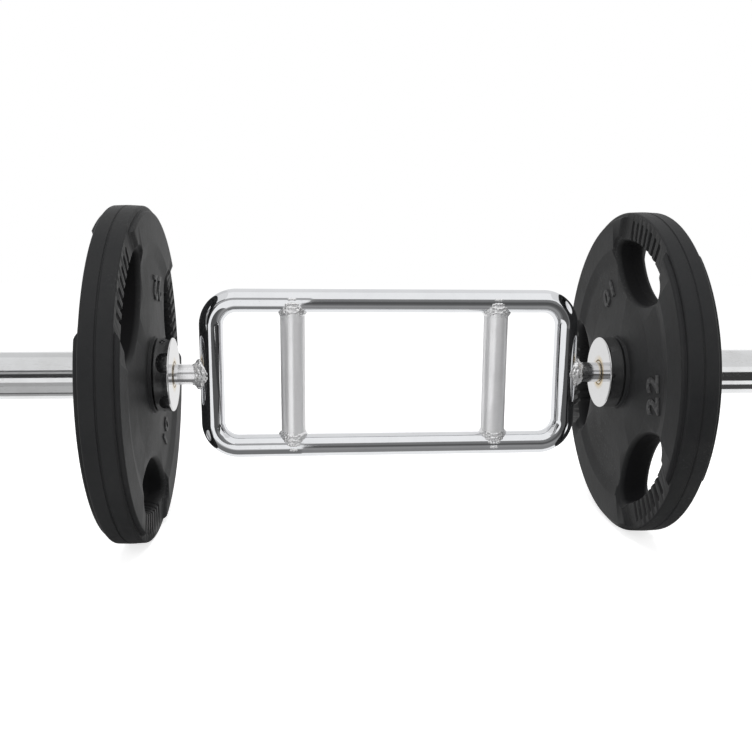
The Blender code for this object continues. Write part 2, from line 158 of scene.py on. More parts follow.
def mixed(tree, share, first, second):
    """The first colour turning into the second as the share goes from 0 to 1."""
    inputs = {0: share, 6: first, 7: second}
    return add(tree, "ShaderNodeMix", inputs, data_type="RGBA").outputs[2]


def noise_over(tree, place, scale, detail, roughness=0.5):
    """A value that varies at random over the piece, and faster with a larger scale."""
    inputs = {"Vector": place, "Scale": scale, "Detail": detail, "Roughness": roughness}
    return add(tree, "ShaderNodeTexNoise", inputs).outputs["Fac"]


def relief(tree, height, distance):
    """The lean of the surface under a relief that is too fine to model."""
    inputs = {"Height": height, "Distance": distance}
    return add(tree, "ShaderNodeBump", inputs).outputs["Normal"]


VALUE, VECTOR = "NodeSocketFloat", "NodeSocketVector"

# Marks of handling on plated steel: soft smudges, and hairline scratches that run two ways
handling, given, result = new_group(
    "handling_marks",
    {"Vector": (VECTOR, None), "Smudge Scale": (VALUE, 22.0), "Scratch Scale": (VALUE, 60.0)},
    {"Smudge": VALUE, "Scratch": VALUE, "Waviness": VALUE},
)
smudge = noise_over(handling, given["Vector"], given["Smudge Scale"], 5.0, 0.6)
scratches = []
for lay in ((1.0, 14.0, 0.6), (0.5, 0.9, 12.0)):
    stretched = add(handling, "ShaderNodeMapping", {"Vector": given["Vector"], "Scale": lay})
    hair = noise_over(handling, stretched.outputs[0], given["Scratch Scale"], 2.0)
    off_line = maths(handling, "ABSOLUTE", maths(handling, "SUBTRACT", hair, 0.5))
    scratches.append(shade_range(handling, off_line, 0.004, 0.0))
fill(
    handling,
    result,
    {
        "Smudge": shade_range(handling, smudge, 0.45, 0.72),
        "Scratch": maths(handling, "MAXIMUM", *scratches),
        "Waviness": noise_over(handling, given["Vector"], 34.0, 1.0),
    },
)


def wear(tree, marks, smudging):
    """How far smudges and scratches dull the plating, from 0 to 1."""
    smudged = maths(tree, "MULTIPLY", marks["Smudge"], smudging)
    return maths(tree, "MINIMUM", maths(tree, "ADD", smudged, marks["Scratch"]), 1.0)


def plated_steel(
    name, colour, dull, roughness, smudged, wave_height, scratch_scale=60.0, metallic=1.0
):
    """Chrome plate: bright, and a little duller where it was handled."""
    material, tree, shader, place = new_material(name, Metallic=metallic)
    marks = placed(tree, handling, {"Vector": place, "Scratch Scale": scratch_scale})
    worn = wear(tree, marks, 0.6)
    fill(
        tree,
        shader,
        {
            "Base Color": mixed(tree, worn, (*colour, 1), (*dull, 1)),
            "Roughness": shade_range(tree, worn, 0.0, 1.0, roughness, smudged),
            "Normal": relief(tree, marks["Waviness"], wave_height),
        },
    )
    return material


polished_chrome = plated_steel(
    "polished_chrome", (0.80, 0.81, 0.83), (0.72, 0.73, 0.75), 0.035, 0.11, 0.00012
)

ROD_SIDES = 64
BEND_STEPS = 24
corner_x = POST_X - BEND_RADIUS
corner_z = RAIL_HEIGHT - BEND_RADIUS
bpy.ops.object.select_all(action="DESELECT")
bpy.ops.mesh.primitive_circle_add(
    vertices=ROD_SIDES,
    radius=ROD_RADIUS,
    location=(-corner_x, 0.0, AXIS + RAIL_HEIGHT),
    rotation=(0.0, pi / 2, 0.0),
)
frame_rod = open_up("frame_rod")
for path, bend_x, bend_z in (
    ((2 * corner_x, 0.0, 0.0), corner_x, corner_z),
    ((0.0, 0.0, -2 * corner_z), corner_x, -corner_z),
    ((-2 * corner_x, 0.0, 0.0), -corner_x, -corner_z),
    ((0.0, 0.0, 2 * corner_z), -corner_x, corner_z),
):
    bpy.ops.mesh.extrude_edges_move(TRANSFORM_OT_translate={"value": path})
    bpy.ops.mesh.spin(
        steps=BEND_STEPS, angle=pi / 2, center=(bend_x, 0.0, AXIS + bend_z), axis=(0.0, -1.0, 0.0)
    )
close_up(frame_rod)

# Cross handles: 26 mm steel bar with a fine diamond knurl rolled into it, coped to sit on both
# rails and plated after welding. The knurl's points catch light, so it looks silver-grey.
HANDLE_RADIUS = 0.013
HANDLE_PLAIN_END = 0.004
KNURL_PITCH_COUNT = 72
KNURL_HEIGHT = 0.00016
KNURL_CUTS = 99
# How near the handle's blank comes to the rail's middle line, as a share of the rod's radius
COPE_SHARE = 0.35
handle_x = {}
for side in ("left", "right"):
    low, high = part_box(f"handle_{side}")
    handle_x[side] = (low.x + high.x) / 2


def cut_away(piece, cutter, keep_cutter=False):
    """Cuts one closed mesh out of another."""
    pick(piece)
    boolean = piece.modifiers.new("cut", "BOOLEAN")
    boolean.operation = "DIFFERENCE"
    boolean.solver = "MANIFOLD"
    boolean.object = cutter
    bpy.ops.object.modifier_apply(modifier="cut")
    if not keep_cutter:
        bpy.data.objects.remove(cutter)


def copy_of(piece, name, turn=0.0, axis="Z", move=(0.0, 0.0, 0.0)):
    """A copy with its own mesh, turned about the bar's middle or its axis, and then moved."""
    pick(piece)
    bpy.ops.object.duplicate(linked=False)
    copy = bpy.context.object
    copy.name = copy.data.name = name
    copy.data.transform(
        Matrix.Translation(move)
        @ Matrix.Translation((0.0, 0.0, AXIS))
        @ Matrix.Rotation(turn, 4, axis)
        @ Matrix.Translation((0.0, 0.0, -AXIS))
    )
    return copy


def select_upright_edges(piece, at_least):
    """Selects only the edges that climb by more than a given height."""
    bpy.ops.mesh.select_all(action="DESELECT")
    mesh = bmesh.from_edit_mesh(piece.data)
    for edge in mesh.edges:
        edge.select_set(abs(edge.verts[0].co.z - edge.verts[1].co.z) > at_least)
    bmesh.update_edit_mesh(piece.data)


half_length = RAIL_HEIGHT - ROD_RADIUS * COPE_SHARE
bpy.ops.object.select_all(action="DESELECT")
bpy.ops.mesh.primitive_cylinder_add(
    vertices=2 * KNURL_PITCH_COUNT,
    radius=HANDLE_RADIUS,
    depth=2 * half_length,
    location=(handle_x["right"], 0.0, AXIS),
)
handle = open_up("knurled_handle_right")
select_upright_edges(handle, half_length)
bpy.ops.mesh.subdivide(number_cuts=KNURL_CUTS)
row_height = half_length / (KNURL_CUTS + 1)
select_upright_edges(handle, row_height / 2)
bpy.ops.mesh.subdivide(number_cuts=1)
mesh = bmesh.from_edit_mesh(handle.data)
for vert in mesh.verts:
    column = round(atan2(vert.co.y, vert.co.x) * KNURL_PITCH_COUNT / pi)
    row = round(vert.co.z / row_height)
    if (row + column) % 2 and abs(vert.co.z) < half_length - HANDLE_PLAIN_END:
        inward = 1 - KNURL_HEIGHT / HANDLE_RADIUS
        vert.co.x *= inward
        vert.co.y *= inward
bmesh.update_edit_mesh(handle.data)
close_up(handle)
cut_away(handle, frame_rod, keep_cutter=True)
knurled_chrome = plated_steel(
    "knurled_chrome", (0.92, 0.92, 0.93), (0.80, 0.80, 0.81), 0.28, 0.42, 0.00004, 140.0, 0.5
)
left_handle = copy_of(
    handle, "knurled_handle_left", move=(handle_x["left"] - handle_x["right"], 0.0, 0.0)
)
finish(frame_rod, polished_chrome, "frame", "chrome", "frame_loop")
finish(handle, knurled_chrome, "frame", "knurled_chrome", "handle_right", crease=10)
finish(left_handle, knurled_chrome, "frame", "knurled_chrome", "handle_left", crease=10)

# Weld beads: each handle and shaft is cut off square, so the weld also fills the gap that its
# round end leaves at the front and the back of the rod. It is laid as overlapping drops and
# left as it froze, plated over, so it is lumpy and it sparkles.
SHAFT_RADIUS = 0.011
# A bead's drops, its lumps, and how its face dips at the front and hollows towards the bar
DROP_ROWS = 5
DROP_COLUMNS = 26
DROP_RADIUS = 0.0014
LUMP_PITCH = 3.1
LUMP_HEIGHT = 0.0006
BEAD_SKIN = 0.0002
BEAD_DIP = 0.0022
BEAD_HOLLOW = 1.6
BEAD_GRAIN = 0.00045
# For each kind of bead: how far it climbs the bar from the rod, and how far its foot stands
# out at the sides and at the front of the bar
HANDLE_BEAD = (0.0042, 0.0024, 0.0008)
SHAFT_BEAD = (0.0080, 0.0046, 0.0014)


def weld_bead(name, bar_radius, bead, seed):
    """A bead round an upright bar that stands on a rod.

    It is made at the origin, with the rod's middle line along X through it and the bar above.
    """
    climb, side_reach, front_reach = bead
    top = ROD_RADIUS + climb
    drops = []
    for column in range(DROP_COLUMNS):
        around = 2 * pi * (column + 0.5) / DROP_COLUMNS
        beside = cos(around) ** 2
        reach = side_reach * beside + front_reach * (1 - beside)
        low = sqrt(max(ROD_RADIUS**2 - (bar_radius * sin(around)) ** 2, 0.0))
        low -= BEAD_DIP * (1 - beside)
        for row in range(DROP_ROWS):
            height = low + (top - low) * row / (DROP_ROWS - 1)
            luck = noise.noise(Vector((column * 0.71, row * 0.83, seed)) * LUMP_PITCH)
            share = min(max((top - height) / climb, 0.0), 1.0)
            out = BEAD_SKIN + reach * share**BEAD_HOLLOW * (1 + 0.5 * luck)
            drop = (DROP_RADIUS + 0.50 * out) * (1 + 0.25 * luck)
            centre = bar_radius + out - drop
            height += LUMP_HEIGHT * luck
            drops.append((drop, (centre * cos(around), centre * sin(around), height)))
    bpy.ops.object.select_all(action="DESELECT")
    bpy.ops.mesh.primitive_ico_sphere_add(
        subdivisions=2, radius=drops[0][0], location=drops[0][1]
    )
    piece = open_up(name)
    for drop, spot in drops[1:]:
        bpy.ops.mesh.primitive_ico_sphere_add(subdivisions=2, radius=drop, location=spot)
    close_up(piece)
    fuse = piece.modifiers.new("fuse", "REMESH")
    fuse.mode = "VOXEL"
    fuse.voxel_size = BEAD_GRAIN
    bpy.ops.object.modifier_apply(modifier="fuse")
    settle = piece.modifiers.new("settle", "SMOOTH")
    settle.factor = 0.5
    settle.iterations = 10
    bpy.ops.object.modifier_apply(modifier="settle")
    return piece


weld_chrome = plated_steel(
    "plated_weld", (0.90, 0.90, 0.91), (0.82, 0.82, 0.82), 0.25, 0.40, 0.0001, 180.0, 0.8
)
for side in ("left", "right"):
    for level, up in (("top", -1), ("bottom", 1)):
        name = f"weld_handle_{side}_{level}"
        weld = weld_bead(f"{name}_bead", HANDLE_RADIUS, HANDLE_BEAD, handle_x[side] * 90 + up)
        if up < 0:
            weld.data.transform(Matrix.Rotation(pi, 4, "X"))
        weld.data.transform(Matrix.Translation((handle_x[side], 0.0, AXIS - up * RAIL_HEIGHT)))
        finish(weld, weld_chrome, "frame", "weld_bead", name, crease=60)
for side, sign in (("left", -1), ("right", 1)):
    weld = weld_bead(f"weld_shaft_{side}_bead", SHAFT_RADIUS, SHAFT_BEAD, 5.0 + sign)
    weld.data.transform(
        Matrix.Translation((sign * POST_X, 0.0, AXIS)) @ Matrix.Rotation(sign * pi / 2, 4, "Y")
    )
    finish(weld, weld_chrome, "frame", "weld_bead", f"weld_shaft_{side}", crease=60)

# Shafts: 22 mm round bar, coped to the post and stepped down to a ground journal that runs
# through the sleeve on two bushings. The stub that shows is plated with the frame.
STUB_LENGTH = 0.027
COLLAR_WIDTH = 0.016
SLEEVE_LENGTH = 0.184
RECESS_DEPTH = 0.018
WASHER_THICKNESS = 0.003
GAP = 0.0003
COLLAR_X = FRAME_WIDTH / 2 + STUB_LENGTH
SEAT_X = COLLAR_X + COLLAR_WIDTH
END_X = SEAT_X + SLEEVE_LENGTH
SHAFT_ROOT_X = POST_X + 0.005
JOURNAL_RADIUS = 0.0095
JOURNAL_END_X = END_X - RECESS_DEPTH + GAP
WASHER_X = JOURNAL_END_X + GAP
BOLT_X = WASHER_X + WASHER_THICKNESS + GAP
BOLT_HOLE_RADIUS = 0.0053
BOLT_HOLE_DEPTH = 0.030
DRILL_DEPTH = 0.032
ROUND_STEPS = 128
ARC_STEPS = 5
ARC_MARGIN = 0.0005


def rounded_line(corners):
    """A line through (x, radius, rounding) corners, with an arc at each rounded one.

    A point just outside each end of an arc keeps the shading of the faces beside it flat.
    """
    points = []
    for number, (x, radius, rounding) in enumerate(corners):
        here = Vector((x, radius))
        if not rounding:
            points.append(here)
            continue
        back = (Vector(corners[number - 1][:2]) - here).normalized()
        ahead = (Vector(corners[(number + 1) % len(corners)][:2]) - here).normalized()
        half = back.angle(ahead) / 2
        centre = here + (back + ahead).normalized() * rounding / sin(half)
        start = here + back * rounding / tan(half) - centre
        end = here + ahead * rounding / tan(half) - centre
        margin = min(0.3 * rounding, ARC_MARGIN)
        points.append(centre + start + back * margin)
        for step in range(ARC_STEPS + 1):
            share = step / ARC_STEPS
            points.append(centre + (start * (1 - share) + end * share).normalized() * rounding)
        points.append(centre + end + ahead * margin)
    return points


def turned(name, corners, steps=ROUND_STEPS):
    """Turns an outline about the bar's axis. It closes on itself, or ends on the axis."""
    points = rounded_line(corners)
    if points[0].y > 0.0:
        points.append(points[0])
    bpy.ops.object.select_all(action="DESELECT")
    bpy.ops.mesh.primitive_plane_add(
        size=0.001, location=(points[0].x, 0.0, AXIS + points[0].y)
    )
    piece = open_up(name)
    bpy.ops.mesh.merge(type="CENTER")
    for here, ahead in zip(points, points[1:]):
        step = (ahead.x - here.x, 0.0, ahead.y - here.y)
        bpy.ops.mesh.extrude_vertices_move(TRANSFORM_OT_translate={"value": step})
    bpy.ops.mesh.select_all(action="SELECT")
    bpy.ops.mesh.spin(
        steps=steps, angle=2 * pi, center=(0.0, 0.0, AXIS), axis=(1.0, 0.0, 0.0)
    )
    return close_up(piece)


def both_ends(piece, material, body, slot, node):
    """Fits a turned piece at the right end, and a copy of it at the left end."""
    pieces = {"right": piece, "left": copy_of(piece, piece.name.replace("right", "left"), pi)}
    for side, fitted in pieces.items():
        finish(fitted, material, body.replace("SIDE", side), slot, f"{node}_{side}")


shaft = turned(
    "turned_shaft_right",
    [
        (SHAFT_ROOT_X, 0.0, 0),
        (SHAFT_ROOT_X, SHAFT_RADIUS, 0),
        (COLLAR_X - GAP, SHAFT_RADIUS, 0.0008),
        (COLLAR_X - GAP, JOURNAL_RADIUS, 0),
        (JOURNAL_END_X, JOURNAL_RADIUS, 0.0005),
        (JOURNAL_END_X, BOLT_HOLE_RADIUS, 0),
        (BOLT_X - BOLT_HOLE_DEPTH, BOLT_HOLE_RADIUS, 0),
        (BOLT_X - DRILL_DEPTH, 0.0, 0),
    ],
)
cut_away(shaft, frame_rod, keep_cutter=True)
drawn_chrome = plated_steel(
    "drawn_chrome", (0.82, 0.82, 0.83), (0.72, 0.72, 0.73), 0.13, 0.26, 0.00025, 120.0
)
both_ends(shaft, drawn_chrome, "frame", "chrome", "shaft")

# Collars: turned from solid 78 mm bar with a broken edge, faced, and plated. The inner face
# is nearly a mirror, with the faintest rings from the lathe.
COLLAR_RADIUS = 0.039
BUSHING_RADIUS = 0.01375
TUBE_BORE_RADIUS = 0.0205
SPIGOT_LENGTH = 0.030
OIL_STAIN = (0.56, 0.45, 0.27, 1)

# How far a point is from the bar's axis, and where along it
about_axis, given, result = new_group(
    "about_axis", {"Vector": (VECTOR, None)}, {"Radius": VALUE, "Along": VALUE}
)
to_axis = {"Vector": given["Vector"], "Location": (0.0, 0.0, -AXIS)}
centred = add(about_axis, "ShaderNodeMapping", to_axis).outputs[0]
parts = add(about_axis, "ShaderNodeSeparateXYZ", {0: centred}).outputs
flat = add(about_axis, "ShaderNodeCombineXYZ", {"Y": parts["Y"], "Z": parts["Z"]}).outputs[0]
length = add(about_axis, "ShaderNodeVectorMath", {0: flat}, operation="LENGTH")
fill(about_axis, result, {"Radius": length.outputs["Value"], "Along": parts["X"]})


def faced_steel(name, colour, roughness, ring_height, rings):
    """Metal faced on a lathe: fine rings about the bar's axis under a smudged plate, and, on
    the side of the frame, oil that has crept out of the bushing."""
    material, tree, shader, place = new_material(name, Metallic=1.0)
    marks = placed(tree, handling, {"Vector": place, "Scratch Scale": 90.0})
    worn = wear(tree, marks, 0.5)
    dull = tuple(0.88 * part for part in colour)
    clean = mixed(tree, worn, (*colour, 1), (*dull, 1))
    spot = placed(tree, about_axis, {"Vector": place})
    near_bushing = shade_range(tree, spot["Radius"], 0.0198, 0.0140)
    near_frame = shade_range(tree, maths(tree, "ABSOLUTE", spot["Along"]), 0.32, 0.30)
    crept = maths(tree, "MULTIPLY", near_bushing, near_frame)
    oily = maths(tree, "MULTIPLY", crept, shade_range(tree, marks["Waviness"], 0.28, 0.54))
    across = add(tree, "ShaderNodeCombineXYZ", {"X": spot["Radius"], "Y": spot["Along"]})
    lathe_lines = noise_over(tree, across.outputs[0], rings, 3.0)
    fill(
        tree,
        shader,
        {
            "Base Color": mixed(tree, oily, clean, OIL_STAIN),
            "Roughness": shade_range(tree, worn, 0.0, 1.0, roughness, 3 * roughness),
            "Normal": relief(tree, lathe_lines, ring_height),
        },
    )
    return material


faced_chrome = faced_steel("faced_chrome", (0.65, 0.65, 0.655), 0.05, 0.000004, 900.0)
collar = turned(
    "turned_collar_right",
    [
        (COLLAR_X, BUSHING_RADIUS + GAP, 0),
        (COLLAR_X, COLLAR_RADIUS, 0.0012),
        (SEAT_X, COLLAR_RADIUS, 0.0012),
        (SEAT_X, TUBE_BORE_RADIUS - GAP, 0),
        (SEAT_X + SPIGOT_LENGTH, TUBE_BORE_RADIUS - GAP, 0.0008),
        (SEAT_X + SPIGOT_LENGTH, BUSHING_RADIUS + GAP, 0),
    ],
)
both_ends(collar, faced_chrome, "SIDE_sleeve", "chrome", "collar")

# Bushings: plain bronze bearings pressed into the collar and the end plug. Oil has crept out
# of the one that shows and stained its edge amber.
BUSHING_LENGTH = 0.044
BUSHING_STEPS = 64
CLEAN_BRONZE = (0.62, 0.58, 0.50, 1)
AMBER_OIL = (0.30, 0.20, 0.08, 1)
BROWN_OIL = (0.13, 0.08, 0.03, 1)
bronze, tree, shader, place = new_material("oiled_bronze", Metallic=1.0)
stained = shade_range(tree, noise_over(tree, place, 160.0, 3.0), 0.35, 0.68)
oiled = mixed(tree, stained, AMBER_OIL, BROWN_OIL)
rim = shade_range(tree, placed(tree, about_axis, {"Vector": place})["Radius"], 0.0120, 0.0128)
fill(
    tree,
    shader,
    {
        "Base Color": mixed(tree, rim, CLEAN_BRONZE, oiled),
        "Roughness": shade_range(tree, stained, 0.0, 1.0, 0.22, 0.42),
        "Normal": relief(tree, noise_over(tree, place, 1400.0, 4.0), 0.00003),
    },
)
for name, start, end in (
    ("inner_bushing", COLLAR_X, COLLAR_X + BUSHING_LENGTH),
    ("outer_bushing", END_X - BUSHING_LENGTH, END_X - RECESS_DEPTH),
):
    bushing = turned(
        f"turned_{name}_right",
        [
            (start, JOURNAL_RADIUS + GAP, 0.0004),
            (start, BUSHING_RADIUS, 0.0004),
            (end, BUSHING_RADIUS, 0.0004),
            (end, JOURNAL_RADIUS + GAP, 0.0004),
        ],
        BUSHING_STEPS,
    )
    both_ends(bushing, bronze, "SIDE_sleeve", "bronze", name)

# Sleeves: 50 mm tube pressed over the collar's spigot and over the plug at the far end. They
# are ground and plated, and plates sliding on and off leave fine scratches along them.
SLEEVE_RADIUS = 0.025
FLANGE_THICKNESS = 0.005
FLANGE_X = END_X - FLANGE_THICKNESS
sleeve_chrome = plated_steel(
    "sleeve_chrome", (0.80, 0.81, 0.82), (0.68, 0.68, 0.68), 0.045, 0.16, 0.00008, 30.0
)
tube = turned(
    "sleeve_tube_body_right",
    [
        (SEAT_X + GAP, TUBE_BORE_RADIUS, 0),
        (SEAT_X + GAP, SLEEVE_RADIUS, 0.0006),
        (FLANGE_X - GAP, SLEEVE_RADIUS, 0.0004),
        (FLANGE_X - GAP, TUBE_BORE_RADIUS, 0),
    ],
)
both_ends(tube, sleeve_chrome, "SIDE_sleeve", "chrome", "sleeve_tube")

# End plugs: turned caps pressed into the tube's outer end, with a flange that covers its rim
# and a recess for the bolt.
RECESS_RADIUS = 0.018
PLUG_LENGTH = 0.048
plug = turned(
    "turned_end_plug_right",
    [
        (END_X - PLUG_LENGTH, BUSHING_RADIUS + GAP, 0),
        (END_X - PLUG_LENGTH, TUBE_BORE_RADIUS - GAP, 0.0008),
        (FLANGE_X, TUBE_BORE_RADIUS - GAP, 0),
        (FLANGE_X, SLEEVE_RADIUS, 0.0003),
        (END_X, SLEEVE_RADIUS, 0.0016),
        (END_X, RECESS_RADIUS, 0.0006),
        (END_X - RECESS_DEPTH, RECESS_RADIUS, 0.0008),
        (END_X - RECESS_DEPTH, BUSHING_RADIUS + GAP, 0),
    ],
)
both_ends(plug, faced_chrome, "SIDE_sleeve", "chrome", "end_plug")

# End fixings: a washer and a socket-head bolt that hold the sleeve on its shaft. They are
# plain steel, and the bolt's head has a fine straight knurl round it.
WASHER_RADIUS = 0.015
WASHER_STEPS = 96
bare_steel = faced_steel("bare_steel", (0.55, 0.55, 0.56), 0.26, 0.00001, 1500.0)
washer = turned(
    "end_washer_ring_right",
    [
        (WASHER_X, BOLT_HOLE_RADIUS, 0.0002),
        (WASHER_X, WASHER_RADIUS, 0.0003),
        (WASHER_X + WASHER_THICKNESS, WASHER_RADIUS, 0.0006),
        (WASHER_X + WASHER_THICKNESS, BOLT_HOLE_RADIUS, 0.0002),
    ],
    WASHER_STEPS,
)
both_ends(washer, bare_steel, "frame", "bare_steel", "end_washer")
BOLT_RADIUS = 0.005
BOLT_LENGTH = 0.028
HEAD_RADIUS = 0.008
HEAD_HEIGHT = 0.010
HEAD_RIDGES = 60
RIDGE_HEIGHT = 0.00022
KEY_WIDTH = 0.008
bolt = turned(
    "socket_bolt_right",
    [
        (BOLT_X - BOLT_LENGTH, 0.0, 0),
        (BOLT_X - BOLT_LENGTH, BOLT_RADIUS, 0.0008),
        (BOLT_X, BOLT_RADIUS, 0),
        (BOLT_X, HEAD_RADIUS, 0.0003),
        (BOLT_X + HEAD_HEIGHT, HEAD_RADIUS, 0.0008),
        (BOLT_X + HEAD_HEIGHT, 0.0, 0),
    ],
    2 * HEAD_RIDGES,
)
for vert in bolt.data.vertices:
    out = hypot(vert.co.y, vert.co.z - AXIS)
    step = round(atan2(vert.co.y, vert.co.z - AXIS) * HEAD_RIDGES / pi)
    if out > HEAD_RADIUS - 0.0001 and step % 2:
        shrink = 1 - RIDGE_HEIGHT / out
        vert.co.y *= shrink
        vert.co.z = AXIS + (vert.co.z - AXIS) * shrink
bpy.ops.object.select_all(action="DESELECT")
bpy.ops.mesh.primitive_cylinder_add(
    vertices=6,
    radius=KEY_WIDTH / 2 / cos(pi / 6),
    depth=HEAD_HEIGHT,
    location=(BOLT_X + HEAD_HEIGHT, 0.0, AXIS),
    rotation=(0.0, pi / 2, 0.0),
)
key_socket = close_up(open_up("key_socket"))
cut_away(bolt, key_socket)
both_ends(bolt, bare_steel, "frame", "bare_steel", "end_bolt")

# Hub rings: turned steel bushes that the rubber is moulded round in each plate's bore. They
# slide on the sleeves with a little room to spare.
HUB_RING_RADIUS = 0.032
HUB_HALF = 0.0218
PLATE_X = SEAT_X + GAP + HUB_HALF
ring_steel = faced_steel("hub_ring_steel", (0.50, 0.50, 0.51), 0.30, 0.00001, 1100.0)
ring = turned(
    "hub_ring_right",
    [
        (PLATE_X - HUB_HALF, SLEEVE_RADIUS + GAP, 0.0008),
        (PLATE_X - HUB_HALF, HUB_RING_RADIUS, 0.0010),
        (PLATE_X + HUB_HALF, HUB_RING_RADIUS, 0.0010),
        (PLATE_X + HUB_HALF, SLEEVE_RADIUS + GAP, 0.0008),
    ],
)
both_ends(ring, ring_steel, "SIDE_plate", "bare_steel", "plate_hub_ring")

# Iron cores: the grey castings that give the plates their weight. They lie inside the rubber
# and never show, so they keep their solids.
IRON_GREY = (0.10, 0.10, 0.11, 1)
RUST_BROWN = (0.16, 0.09, 0.06, 1)
cast_iron, tree, shader, place = new_material("cast_iron", Metallic=0.6)
rusty = shade_range(tree, noise_over(tree, place, 60.0, 4.0), 0.5, 0.75)
fill(
    tree,
    shader,
    {
        "Base Color": mixed(tree, rusty, IRON_GREY, RUST_BROWN),
        "Roughness": shade_range(tree, rusty, 0.0, 1.0, 0.62, 0.85),
        "Normal": relief(tree, noise_over(tree, place, 420.0, 6.0), 0.0003),
    },
)
for side in ("left", "right"):
    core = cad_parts[f"plate_core_{side}"]
    core.data.materials.clear()
    core.data.materials.append(cast_iron)

# Rubber jackets: black rubber moulded over the core, with a thick hub pad, a sunken web and a
# raised panel on each face. Three bow-shaped grip holes each leave a bar at the rim, sunk and
# grooved for the fingers. The mould's two halves meet in a fine line round the rim.
PLATE_RADIUS = 0.1756
HUB_FACE = 0.0212
PANEL_FACE = 0.0196
WEB_HUB_FACE = 0.0178
WEB_FACE = 0.0162
WEB_HUB_RADIUS = 0.056
WEB_FLAT_RADIUS = 0.088
RIM_FACE = 0.0151
BAR_FACE = 0.0147
PANEL_EDGE = PLATE_RADIUS - 0.0055
BAR_RADIUS = 0.1422
PANEL_START = 0.1385
PAD_RADIUS = 0.0400
JACKET_STEPS = 192
half_outline = [
    (HUB_FACE, HUB_RING_RADIUS + GAP, 0.0006),
    (HUB_FACE, PAD_RADIUS, 0.0012),
    (WEB_HUB_FACE, PAD_RADIUS + 0.0008, 0.0008),
    (WEB_HUB_FACE, WEB_HUB_RADIUS, 0.0100),
    (WEB_FACE, WEB_FLAT_RADIUS, 0.0300),
    (WEB_FACE, PANEL_START - 0.0150, 0.0300),
    (PANEL_FACE, PANEL_START, 0.0100),
    (PANEL_FACE, PANEL_EDGE, 0.0022),
    (RIM_FACE, PANEL_EDGE + 0.0002, 0.0006),
    (RIM_FACE, PLATE_RADIUS - 0.0006, 0.0024),
    (0.0012, PLATE_RADIUS, 0.0003),
    (0.0004, PLATE_RADIUS - 0.0010, 0),
]
jacket = turned(
    "rubber_jacket",
    half_outline + [(-x, radius, rounding) for x, radius, rounding in reversed(half_outline)],
    JACKET_STEPS,
)

GRIP_HEIGHT = 0.0508
BOW_RADIUS = 0.0800
CORNER_RADIUS = 0.0092
GRIP_TURNS = [2 * pi * number / 3 for number in range(3)]
# How far the hole widens towards each face, as (distance from the middle, widening)
FLARE = (
    (0.0002, 0.0),
    (0.0040, 0.0007),
    (0.0080, 0.0014),
    (0.0120, 0.0029),
    (0.0140, 0.0039),
    (0.0152, 0.0048),
    (0.0158, 0.0055),
    (0.0162, 0.0062),
    (0.0168, 0.0074),
    (0.0190, 0.0086),
    (0.0230, 0.0100),
)


def arc(centre_z, radius, start, end, steps):
    """Points of an arc about (0, centre_z), with angles from +Z towards +Y."""
    turns = [start + (end - start) * step / steps for step in range(steps + 1)]
    return [(radius * sin(turn), centre_z + radius * cos(turn)) for turn in turns]


def grip_outline(grow):
    """A grip hole: the grip bar's arc outside, a wider bow towards the hub, round corners."""
    bar = BAR_RADIUS + grow
    bow = BOW_RADIUS + grow
    corner = CORNER_RADIUS + grow
    bow_z = BAR_RADIUS - GRIP_HEIGHT + BOW_RADIUS
    corner_z = ((bar - corner) ** 2 - (bow - corner) ** 2 + bow_z**2) / (2 * bow_z)
    bar_turn = acos(corner_z / (bar - corner))
    corner_y = (bar - corner) * sin(bar_turn)
    bow_turn = atan2(corner_y, corner_z - bow_z)
    right = arc(0.0, bar, 0.0, bar_turn, 18)[:-1]
    right += [(corner_y + y, z) for y, z in arc(corner_z, corner, bar_turn, bow_turn, 10)]
    right += arc(bow_z, bow, bow_turn, pi, 20)[1:]
    return right + [(-y, z) for y, z in reversed(right[1:-1])]


def loft(name, rings, turns):
    """A grid rolled up to a tube through a row of rings, and repeated about the bar's axis."""
    across = len(rings[0])
    bpy.ops.object.select_all(action="DESELECT")
    bpy.ops.mesh.primitive_grid_add(x_subdivisions=across, y_subdivisions=len(rings) - 1)
    piece = open_up(name)
    mesh = bmesh.from_edit_mesh(piece.data)
    mesh.verts.ensure_lookup_table()
    for number, vert in enumerate(mesh.verts):
        row, column = divmod(number, across + 1)
        vert.co = Vector(rings[row][column % across]) + Vector((0.0, 0.0, AXIS))
    bmesh.update_edit_mesh(piece.data)
    bpy.ops.mesh.remove_doubles(threshold=0.000002)
    bpy.ops.mesh.fill_holes(sides=0)
    close_up(piece)
    copies = [copy_of(piece, f"{name}_{number}", turn, "X") for number, turn in enumerate(turns)]
    bpy.data.objects.remove(piece)
    for copy in copies:
        copy.select_set(True)
    bpy.ops.object.join()
    return bpy.context.object


stations = [(-x, grow) for x, grow in reversed(FLARE)] + list(FLARE)
holes = loft(
    "grip_holes",
    [[(x, y, z) for y, z in grip_outline(grow)] for x, grow in stations],
    GRIP_TURNS,
)
cut_away(jacket, holes)

BAR_HALF_LENGTH = 0.0525
BAR_END_RUN = 0.0100
BAR_EDGE_RUN = 0.003
BAR_EDGE_DROP = 0.0030
BAR_STEPS = 60
# How far the cut reaches out of the face, past the rim, and into the hole
CUT_FACE = 0.028
CUT_RADIUS = 0.185
CUT_INSIDE = BAR_RADIUS - 0.008


def smooth_step(share):
    """A share that starts and ends level, for a ramp with soft ends."""
    share = min(max(share, 0.0), 1.0)
    return share * share * (3 - 2 * share)


